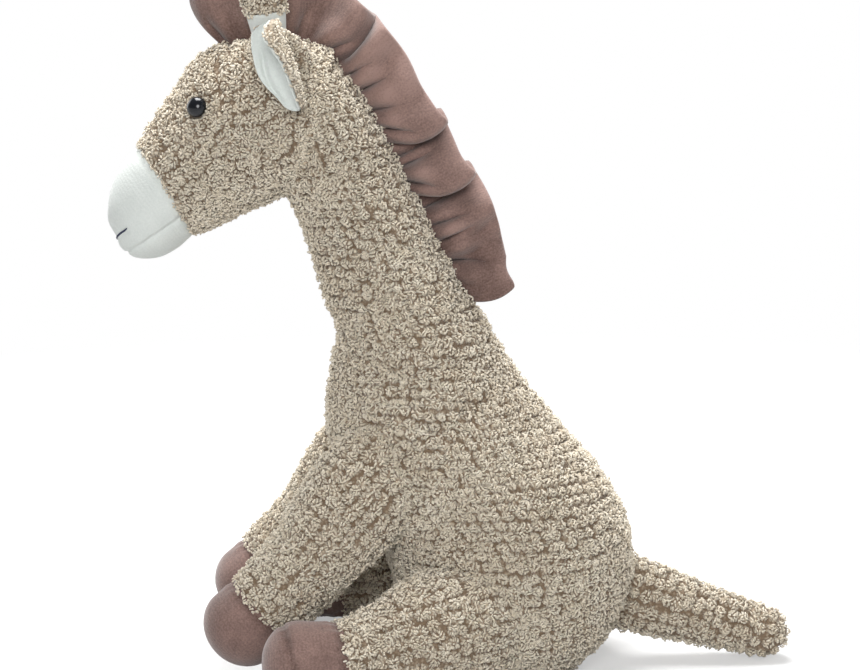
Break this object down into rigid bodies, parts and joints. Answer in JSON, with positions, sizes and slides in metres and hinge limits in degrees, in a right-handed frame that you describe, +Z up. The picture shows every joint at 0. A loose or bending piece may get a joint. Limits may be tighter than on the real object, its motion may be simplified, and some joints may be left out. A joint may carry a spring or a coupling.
{
  "type": "plush giraffe",
  "caption": "Seated plush giraffe in knitted sherpa with velvet hooves, muzzle and gathered mane; it rests on a flat weighted seat and its neck, legs, ears and tail flex.",
  "frame": {"origin": "centre of the flat seat that the toy rests on, on the floor", "axes": "+Z up, -X the way the toy faces, -Y its left side"},
  "size_m": [0.3445, 0.1852, 0.3514],
  "materials": {
    "sherpa": "matte",
    "mauve_velvet": "satin",
    "cream_velvet": "satin",
    "fibre_filling": "matte",
    "bag_cloth": "matte",
    "eye_gloss": "gloss",
    "washer_plastic": "matte",
    "navy_thread": "matte"
  },
  "bodies": {
    "torso": {"body_panel_left": "sherpa", "body_panel_right": "sherpa", "chest_gusset": "sherpa", "seat_panel": "sherpa", "pellet_bag": "bag_cloth", "body_stuffing": "fibre_filling"},
    "neck": {"neck_panel_left": "sherpa", "neck_panel_right": "sherpa", "neck_stuffing": "fibre_filling", "head_panel_left": "sherpa", "head_panel_right": "sherpa", "head_stuffing": "fibre_filling", "muzzle": "cream_velvet", "chin": "cream_velvet", "mouth_stitch": "navy_thread", "eye_left": "eye_gloss", "eye_right": "eye_gloss", "eye_washer_left": "washer_plastic", "eye_washer_right": "washer_plastic", "horn_stem_left": "cream_velvet", "horn_stem_right": "cream_velvet", "horn_knob_left": "sherpa", "horn_knob_right": "sherpa", "mane": "mauve_velvet"},
    "ear_left": {"ear_back_left": "sherpa", "ear_lining_left": "cream_velvet"},
    "ear_right": {"ear_back_right": "sherpa", "ear_lining_right": "cream_velvet"},
    "front_leg_left": {"front_leg_left_skin": "sherpa", "front_leg_left_stuffing": "fibre_filling", "front_hoof_left": "mauve_velvet"},
    "front_leg_right": {"front_leg_right_skin": "sherpa", "front_leg_right_stuffing": "fibre_filling", "front_hoof_right": "mauve_velvet"},
    "hind_leg_left": {"hind_leg_left_skin": "sherpa", "hind_leg_left_stuffing": "fibre_filling", "hind_hoof_left": "mauve_velvet"},
    "hind_leg_right": {"hind_leg_right_skin": "sherpa", "hind_leg_right_stuffing": "fibre_filling", "hind_hoof_right": "mauve_velvet"},
    "tail": {"tail_skin": "sherpa", "tail_stuffing": "fibre_filling"}
  },
  "joints": [
    {"name": "neck_nod", "type": "hinge", "parent": "torso", "child": "neck", "pos_m": [-0.042, 0, 0.15], "axis": [0, -1, 0], "range_deg": [-8, 12], "stiffness_Nm_per_rad": 5, "springref_deg": -0.57},
    {"name": "ear_swing_left", "type": "hinge", "parent": "neck", "child": "ear_left", "pos_m": [-0.098, -0.025, 0.308], "axis": [0, 0, 1], "range_deg": [0, 25], "stiffness_Nm_per_rad": 0.02},
    {"name": "ear_swing_right", "type": "hinge", "parent": "neck", "child": "ear_right", "pos_m": [-0.098, 0.025, 0.308], "axis": [0, 0, -1], "range_deg": [0, 25], "stiffness_Nm_per_rad": 0.02},
    {"name": "front_leg_lift_left", "type": "hinge", "parent": "torso", "child": "front_leg_left", "pos_m": [-0.091, -0.039, 0.113], "axis": [0, 1, 0], "range_deg": [0, 25], "stiffness_Nm_per_rad": 0.2},
    {"name": "front_leg_lift_right", "type": "hinge", "parent": "torso", "child": "front_leg_right", "pos_m": [-0.091, 0.039, 0.113], "axis": [0, 1, 0], "range_deg": [0, 25], "stiffness_Nm_per_rad": 0.2},
    {"name": "hind_leg_splay_left", "type": "hinge", "parent": "torso", "child": "hind_leg_left", "pos_m": [0.014, -0.06, 0.03], "axis": [0, 0, 1], "range_deg": [0, 18], "stiffness_Nm_per_rad": 0.2},
    {"name": "hind_leg_splay_right", "type": "hinge", "parent": "torso", "child": "hind_leg_right", "pos_m": [0.014, 0.06, 0.03], "axis": [0, 0, -1], "range_deg": [0, 18], "stiffness_Nm_per_rad": 0.2},
    {"name": "tail_wag", "type": "hinge", "parent": "torso", "child": "tail", "pos_m": [0.063, 0, 0.034], "axis": [0.2715, 0, 0.9624], "range_deg": [-25, 25], "stiffness_Nm_per_rad": 0.1}
  ]
}
